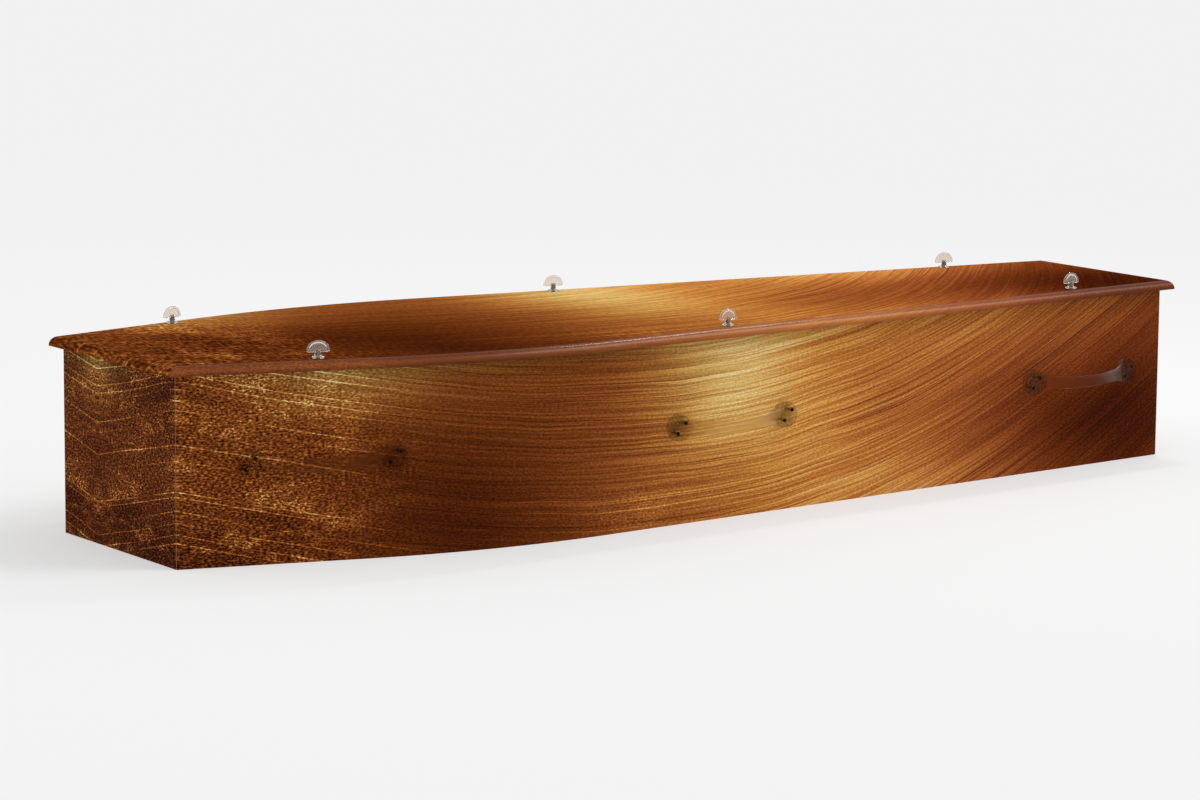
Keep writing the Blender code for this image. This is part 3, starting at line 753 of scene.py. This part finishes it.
def wandering_strokes(tree):
    """The strokes' place, with the across part pushed aside by a slow and a quicker noise."""
    strokes = add(tree, "ShaderNodeUVMap", {"uv_map": "strokes"}).outputs["UV"]
    for along, across, aside in (SLOW_WANDER, QUICK_WANDER):
        noise = streaks(tree, strokes, along, across, 2.0)
        push = add(tree, "ShaderNodeCombineXYZ", None, Y=noise).outputs[0]
        strokes = add(tree, "ShaderNodeVectorMath", {"operation": "MULTIPLY_ADD"}, i0=push,
                      i1=(0.0, aside, 0.0), i2=strokes).outputs[0]
    return strokes


def thin_lines(tree, strokes, per_metre, half_width, breaks, broken, faintest):
    """Long thin lines of one width, set at random, each of its own strength and broken in places."""
    across = add(tree, "ShaderNodeSeparateXYZ", None, Vector=strokes).outputs["Y"]
    cells = add(tree, "ShaderNodeTexVoronoi", {"voronoi_dimensions": "1D"}, W=across, Scale=per_metre)
    line = add(tree, "ShaderNodeMapRange", {"interpolation_type": "SMOOTHSTEP"},
               Value=cells.outputs["Distance"], From_Min=0.0, From_Max=half_width * per_metre,
               To_Min=1.0, To_Max=0.0).outputs[0]
    strength = add(tree, "ShaderNodeMapRange", None, Value=cells.outputs["Color"], From_Min=0.2,
                   From_Max=0.8, To_Min=faintest, To_Max=1.0).outputs[0]
    whole = add(tree, "ShaderNodeMapRange", {"interpolation_type": "SMOOTHSTEP"},
                Value=streaks(tree, strokes, breaks, 0.5 * per_metre, 2.0), From_Min=broken - 0.07,
                From_Max=broken + 0.07).outputs[0]
    strong = add(tree, "ShaderNodeMath", {"operation": "MULTIPLY"}, i0=line, i1=strength).outputs[0]
    return add(tree, "ShaderNodeMath", {"operation": "MULTIPLY"}, i0=strong, i1=whole).outputs[0]


def printed_copper(name, roughness, sheen_level, grain_across=1.0, contrast=1.0, on_edge=False):
    """Foil print of brushed copper on fibreboard under a thin lacquer.

    The eye sees fine strokes in long arcs, mottled gold and pale scratches near the head, and
    hardly any reflection but on the lid's rounded edge. On that edge shade is painted along its
    top and bottom, and light is painted half way up.
    Contrast weakens the strokes, the mottling and the grain.
    """
    material, tree, shader = new_material(name)
    strokes = wandering_strokes(tree)
    layout = add(tree, "ShaderNodeUVMap", {"uv_map": "print"}).outputs["UV"]
    layout = add(tree, "ShaderNodeMapping", None, Vector=layout,
                 Scale=(GRAIN_STRETCH, grain_across, 1.0)).outputs[0]
    tone = add(tree, "ShaderNodeAttribute", {"attribute_name": "tone"}).outputs["Fac"]
    mottle = add(tree, "ShaderNodeAttribute", {"attribute_name": "mottle"}).outputs["Fac"]
    tint = add(tree, "ShaderNodeAttribute", {"attribute_name": "hue"}).outputs["Fac"]
    in_mottling = add(tree, "ShaderNodeMapRange", None, Value=mottle, From_Min=0.0, From_Max=0.6,
                      To_Min=1.0, To_Max=STROKES_IN_MOTTLING).outputs[0]
    in_dark = add(tree, "ShaderNodeMapRange", None, Value=tone, From_Min=0.36, From_Max=0.58,
                  To_Min=STROKES_IN_DARK, To_Max=1.0).outputs[0]
    strokes_kept = add(tree, "ShaderNodeMath", {"operation": "MULTIPLY"}, i0=in_mottling,
                       i1=in_dark).outputs[0]
    scratches_kept = add(tree, "ShaderNodeMapRange", None, Value=mottle, From_Min=0.0, From_Max=0.6,
                         To_Min=SCRATCH_STAYS, To_Max=1.0).outputs[0]
    marks = []
    for along, across, amount in (HAIR_LINES, WIDE_BANDS):
        crisp = add(tree, "ShaderNodeMapRange", {"interpolation_type": "SMOOTHSTEP"},
                    Value=streaks(tree, strokes, along, across, 3.0), From_Min=0.36, From_Max=0.64,
                    To_Min=-1.0, To_Max=1.0).outputs[0]
        marks.append((crisp, strokes_kept, amount))
    hair = marks[0][0]
    for kind, kept in ((DARK_GROOVES, strokes_kept), (PALE_GROOVES, in_mottling),
                       (SCRATCHES, scratches_kept)):
        marks.append((thin_lines(tree, strokes, *kind[:-1]), kept, kind[-1]))
    layers = [(add(tree, "ShaderNodeMath", {"operation": "MULTIPLY"}, i0=mark, i1=kept).outputs[0], amount)
              for mark, kept, amount in marks]
    dark = layers[2][0]
    for patch, amount in ((clouds(tree, layout, FLECKS), FLECK_TONE),
                          (clouds(tree, layout, STAINS), STAIN_TONE)):
        layers.append((add(tree, "ShaderNodeMath", {"operation": "MULTIPLY"}, i0=patch,
                           i1=mottle).outputs[0], amount))
    grain = add(tree, "ShaderNodeTexNoise", {"noise_dimensions": "2D"}, Vector=layout, Scale=GRAIN,
                Detail=2.0).outputs["Fac"]
    grain = add(tree, "ShaderNodeMath", {"operation": "SUBTRACT"}, i0=grain, i1=0.5).outputs[0]
    mottled_grain = add(tree, "ShaderNodeMath", {"operation": "MULTIPLY"}, i0=grain, i1=mottle).outputs[0]
    layers += [(grain, GRAIN_TONE), (mottled_grain, MOTTLED_GRAIN_TONE)]
    layers = [(layer, amount * contrast) for layer, amount in layers]
    if on_edge:
        height = add(tree, "ShaderNodeSeparateXYZ", None,
                     Vector=add(tree, "ShaderNodeTexCoord").outputs["Object"]).outputs["Z"]
        # Tone by height on the edge's rounding is painted light and shade: darker at its top and bottom,
        # paler half way up
        middle = lid_high.z - 0.5 * LID_ROUND
        for side_of_band in (lid_high.z, lid_low.z):
            painted_shade_and_light = add(tree, "ShaderNodeMapRange", {"interpolation_type": "SMOOTHSTEP"}, Value=height,
                        From_Min=side_of_band, From_Max=middle, To_Min=EDGE_PAINTED_SHADE,
                        To_Max=EDGE_PAINTED_LIGHT / 2).outputs[0]
            layers.append((painted_shade_and_light, 1.0))
        tone = add(tree, "ShaderNodeMapRange", {"clamp": False}, Value=tone,
                   To_Min=EDGE_EVENNESS * EDGE_MEAN,
                   To_Max=1.0 - EDGE_EVENNESS + EDGE_EVENNESS * EDGE_MEAN).outputs[0]
        sheen = add(tree, "ShaderNodeMapRange", {"interpolation_type": "SMOOTHSTEP"}, Value=height,
                    From_Min=lid_high.z - EDGE_DULL, From_Max=lid_high.z - 4 * EDGE_DULL,
                    To_Min=0.0, To_Max=sheen_level).outputs[0]
        tree.links.new(sheen, shader.inputs["Specular IOR Level"])
    total = tone
    for layer, amount in layers:
        total = add(tree, "ShaderNodeMath", {"operation": "MULTIPLY_ADD"}, i0=layer, i1=amount,
                    i2=total).outputs[0]
    tint = add(tree, "ShaderNodeMath", {"operation": "MULTIPLY_ADD"}, i0=dark, i1=GROOVE_REDNESS,
               i2=tint).outputs[0]
    plain = colour_ramp(tree, total, PLAIN_COPPER)
    warm = add(tree, "ShaderNodeMix", {"data_type": "RGBA"}, i0=tint, i6=plain,
               i7=colour_ramp(tree, total, RED_COPPER)).outputs[2]
    goldness = add(tree, "ShaderNodeMath", {"operation": "MULTIPLY"}, i0=tint, i1=-1.0).outputs[0]
    colour = add(tree, "ShaderNodeMix", {"data_type": "RGBA"}, i0=goldness, i6=warm,
                 i7=colour_ramp(tree, total, PALE_GOLD)).outputs[2]
    tree.links.new(colour, shader.inputs["Base Color"])
    dull = add(tree, "ShaderNodeMath", {"operation": "MULTIPLY_ADD"}, i0=grain, i1=ROUGHNESS_SPREAD,
               i2=roughness).outputs[0]
    tree.links.new(dull, shader.inputs["Roughness"])
    shader.inputs["Specular IOR Level"].default_value = sheen_level
    bump = add(tree, "ShaderNodeBump", None, Height=hair, Strength=contrast, Distance=RELIEF)
    tree.links.new(bump.outputs[0], shader.inputs["Normal"])
    return material


def fibreboard(name):
    """Medium-density fibreboard, sawn and bare: a dull tan with fine fibre specks."""
    material, tree, shader = new_material(name)
    place = add(tree, "ShaderNodeTexCoord").outputs["Object"]
    fibres = add(tree, "ShaderNodeTexNoise", None, Vector=place, Scale=FIBRES, Detail=6.0,
                 Roughness=0.7).outputs["Fac"]
    colour = colour_ramp(tree, fibres, ((0.3, "#8d7150"), (0.7, "#b79a72")))
    tree.links.new(colour, shader.inputs["Base Color"])
    bump = add(tree, "ShaderNodeBump", None, Height=fibres, Strength=0.3, Distance=FIBRE_HEIGHT)
    tree.links.new(bump.outputs[0], shader.inputs["Normal"])
    shader.inputs["Roughness"].default_value = 0.85
    return material


RIPPLES = 480.0               # cycles a metre of the ripples that moulding leaves in the acrylic
RIPPLE_HEIGHT = 0.0016
SMOOTH_PARTS = 0.002          # share of the ripples that is left away from the handles' feet


def acrylic(name, hex_colour, foot_hex, roughness, transmission, ior, alpha):
    """Moulded acrylic: clear with a soft gloss for handles, or slightly milky and glossier for knobs.

    The eye sees thin pale edges, and strong ripples and an olive cast in the feet of a handle.
    The gloss is lightly uneven from the mould.
    """
    material, tree, shader = new_material(name)
    foot = add(tree, "ShaderNodeAttribute", {"attribute_name": "foot"}).outputs["Fac"]
    cast = add(tree, "ShaderNodeMix", {"data_type": "RGBA"}, i0=foot, i6=linear(hex_colour),
               i7=linear(foot_hex)).outputs[2]
    tree.links.new(cast, shader.inputs["Base Color"])
    shader.inputs["IOR"].default_value = ior
    shader.inputs["Transmission Weight"].default_value = transmission
    shader.inputs["Alpha"].default_value = alpha
    place = add(tree, "ShaderNodeTexCoord").outputs["Object"]
    ripples = add(tree, "ShaderNodeTexNoise", None, Vector=place, Scale=RIPPLES,
                  Detail=2.0).outputs["Fac"]
    gloss = add(tree, "ShaderNodeMapRange", None, Value=ripples, From_Min=0.3, From_Max=0.7,
                To_Min=0.9 * roughness, To_Max=1.1 * roughness).outputs[0]
    tree.links.new(gloss, shader.inputs["Roughness"])
    strength = add(tree, "ShaderNodeMapRange", None, Value=foot, To_Min=SMOOTH_PARTS).outputs[0]
    bump = add(tree, "ShaderNodeBump", None, Height=ripples, Strength=strength, Distance=RIPPLE_HEIGHT)
    tree.links.new(bump.outputs[0], shader.inputs["Normal"])
    return material


def screw_steel(name, light, dark, roughness, seat=None):
    """Steel of a screw: zinc plated, lightly streaked by the threading.

    The heads of a handle's screws are blackened, from the plane of their seat outwards, so that
    the eye sees round black dots and hardly the shanks behind them.
    """
    material, tree, shader = new_material(name)
    place = add(tree, "ShaderNodeTexCoord").outputs["Object"]
    wear = add(tree, "ShaderNodeTexNoise", None, Vector=place, Scale=WEAR, Detail=4.0).outputs["Fac"]
    colour = colour_ramp(tree, wear, ((0.3, dark), (0.7, light)))
    if seat is not None:
        out = seat.col[1].xyz
        height = add(tree, "ShaderNodeVectorMath", {"operation": "DOT_PRODUCT"}, i0=place,
                     i1=out).outputs["Value"]
        level = seat.translation.dot(out) + FOOT_DEPTH
        on_head = add(tree, "ShaderNodeMapRange", None, Value=height, From_Min=level - SCREW_SEAT_GAP,
                      From_Max=level).outputs[0]
        black = colour_ramp(tree, wear, ((0.3, "#0b0908"), (0.7, "#1d1a18")))
        colour = add(tree, "ShaderNodeMix", {"data_type": "RGBA"}, i0=on_head, i6=colour,
                     i7=black).outputs[2]
    tree.links.new(colour, shader.inputs["Base Color"])
    shader.inputs["Metallic"].default_value = 1.0
    dull = add(tree, "ShaderNodeMapRange", None, Value=wear, From_Min=0.3, From_Max=0.7,
               To_Min=0.8 * roughness, To_Max=1.2 * roughness).outputs[0]
    tree.links.new(dull, shader.inputs["Roughness"])
    bump = add(tree, "ShaderNodeBump", None, Height=wear, Strength=0.2, Distance=WEAR_HEIGHT)
    tree.links.new(bump.outputs[0], shader.inputs["Normal"])
    return material


def dress_nodes(prefix, material):
    """Give a material to the CAD's own solids whose names start with a prefix."""
    for name, thing in nodes.items():
        if name.startswith(prefix):
            thing.data.materials.clear()
            thing.data.materials.append(material)


CAMERA_ANGLES = (0.60047, 0.1526, 0.0080)      # turn, dip and roll in radians
CAMERA_PLACE = (-3.864, -5.507, 1.186)
CAMERA_LENS = 125.62          # millimetres, and the width of the sensor
CAMERA_SENSOR = 36.0
CAMERA_FAR = 200.0


def make_camera():
    """Camera at the photo's angle: turned from +Y towards +X, dipped and slightly rolled."""
    turn, dip, roll = CAMERA_ANGLES
    ahead = Vector((math.sin(turn) * math.cos(dip), math.cos(turn) * math.cos(dip), -math.sin(dip)))
    right = Vector((math.cos(turn), -math.sin(turn), 0.0))
    up = right.cross(ahead)
    right, up = (right * math.cos(roll) + up * math.sin(roll),
                 up * math.cos(roll) - right * math.sin(roll))
    camera = bpy.data.objects.new("camera", bpy.data.cameras.new("camera"))
    camera.data.sensor_width = CAMERA_SENSOR
    camera.data.lens = CAMERA_LENS
    camera.matrix_world = Matrix.Translation(CAMERA_PLACE) @ (
        Matrix((right, up, -ahead)).transposed().to_4x4())
    camera.data.clip_end = CAMERA_FAR
    bpy.context.scene.collection.objects.link(camera)
    bpy.context.scene.camera = camera


# Studio: an even sky, a broad window light from the foot end, and a small lamp for the glints
SKY_STRENGTH = 0.78
KEY_DIRECTION = (0.62, -0.36, 0.70)
KEY_STRENGTH = 1.03
KEY_SPREAD = 26.0
GLINT_PLACE = (1.34, 0.38, 2.13)
GLINT_POWER = 10.0
GLINT_LENGTH = 0.60
GLINT_WIDTH = 0.12
FLOOR_SHARE = 0.5             # half of the floor's light is its own, as on a light table
FLOOR_HALF_SIZE = 60.0


def make_light(name, kind, place, power):
    """A light at a place, turned to the object's middle, its own X as near the object's as can be."""
    data = bpy.data.lights.new(name, kind)
    data.energy = power
    lamp = bpy.data.objects.new(name, data)
    back = Vector(place).normalized()
    along = (Vector((1.0, 0.0, 0.0)) - back * back.x).normalized()
    lamp.matrix_world = Matrix.Translation(place) @ (
        Matrix((along, back.cross(along), back)).transposed().to_4x4())
    bpy.context.scene.collection.objects.link(lamp)
    return data


def make_studio():
    """White paper floor, an even sky, the window light and the small lamp."""
    bm = bmesh.new()
    bmesh.ops.create_grid(bm, x_segments=1, y_segments=1, size=FLOOR_HALF_SIZE)
    mesh = bpy.data.meshes.new("floor")
    bm.to_mesh(mesh)
    bm.free()
    floor = bpy.data.objects.new("floor", mesh)
    bpy.context.scene.collection.objects.link(floor)
    material, tree, shader = new_material("matt_paper_floor")
    white = linear("#f1f1f1")
    shader.inputs["Base Color"].default_value = [(1.0 - FLOOR_SHARE) * c for c in white[:3]] + [1.0]
    shader.inputs["Emission Color"].default_value = white
    shader.inputs["Emission Strength"].default_value = FLOOR_SHARE
    shader.inputs["Roughness"].default_value = 0.9
    shader.inputs["Specular IOR Level"].default_value = 0.0
    mesh.materials.append(material)
    world = bpy.data.worlds.new("studio")
    world.use_nodes = True
    world.node_tree.nodes["Background"].inputs["Color"].default_value = (1.0, 1.0, 1.0, 1.0)
    world.node_tree.nodes["Background"].inputs["Strength"].default_value = SKY_STRENGTH
    bpy.context.scene.world = world
    bpy.context.scene.view_settings.view_transform = "Standard"
    make_light("window", "SUN", KEY_DIRECTION, KEY_STRENGTH).angle = math.radians(KEY_SPREAD)
    glint = make_light("lamp", "AREA", GLINT_PLACE, GLINT_POWER)
    glint.shape = "RECTANGLE"
    glint.size = GLINT_LENGTH
    glint.size_y = GLINT_WIDTH


def main():
    make_camera()
    printed = printed_copper("copper_foil_on_sides", 0.45, 0.006)
    printed_top = printed_copper("copper_foil_on_lid", 0.55, 0.0, LID_GRAIN, 0.7)
    # The lid's edge carries painted shade along the top and bottom of its rounding and painted light half
    # way up
    printed_edge = printed_copper("copper_foil_with_painted_shading_on_lid_edge", 0.22, 0.11, EDGE_GRAIN, 0.25, on_edge=True)
    raw = fibreboard("bare_fibreboard")
    for side in SIDES:
        make_side(side, printed, raw)
    for end in ("head", "foot"):
        make_end(end, printed, raw)
    make_lid(printed_top, printed_edge, raw)
    # The handles bend light less than real acrylic, so that they are as hard to see as in the photo,
    # and their gloss is soft, so that the pale surroundings show in them evenly
    make_handles(acrylic("clear_acrylic", "#dfd3ac", "#6e6236", 0.33, 1.0, 1.12, 0.34))
    make_knobs(acrylic("frosted_acrylic", "#f0e8da", "#f0e8da", 0.07, 0.88, 1.45, 1.0))
    dress_nodes("base_board", raw)
    for name, (place, _) in handle_frames().items():
        dress_nodes(f"handle_screw_{name}",
                    screw_steel(f"yellow_zinc_steel_{name}", "#c9a56a", "#9c7a45", 0.4, place))
    dress_nodes("thumbscrew_shank", screw_steel("zinc_plated_steel", "#6b6762", "#4a4642", 0.3))
    make_studio()


main()
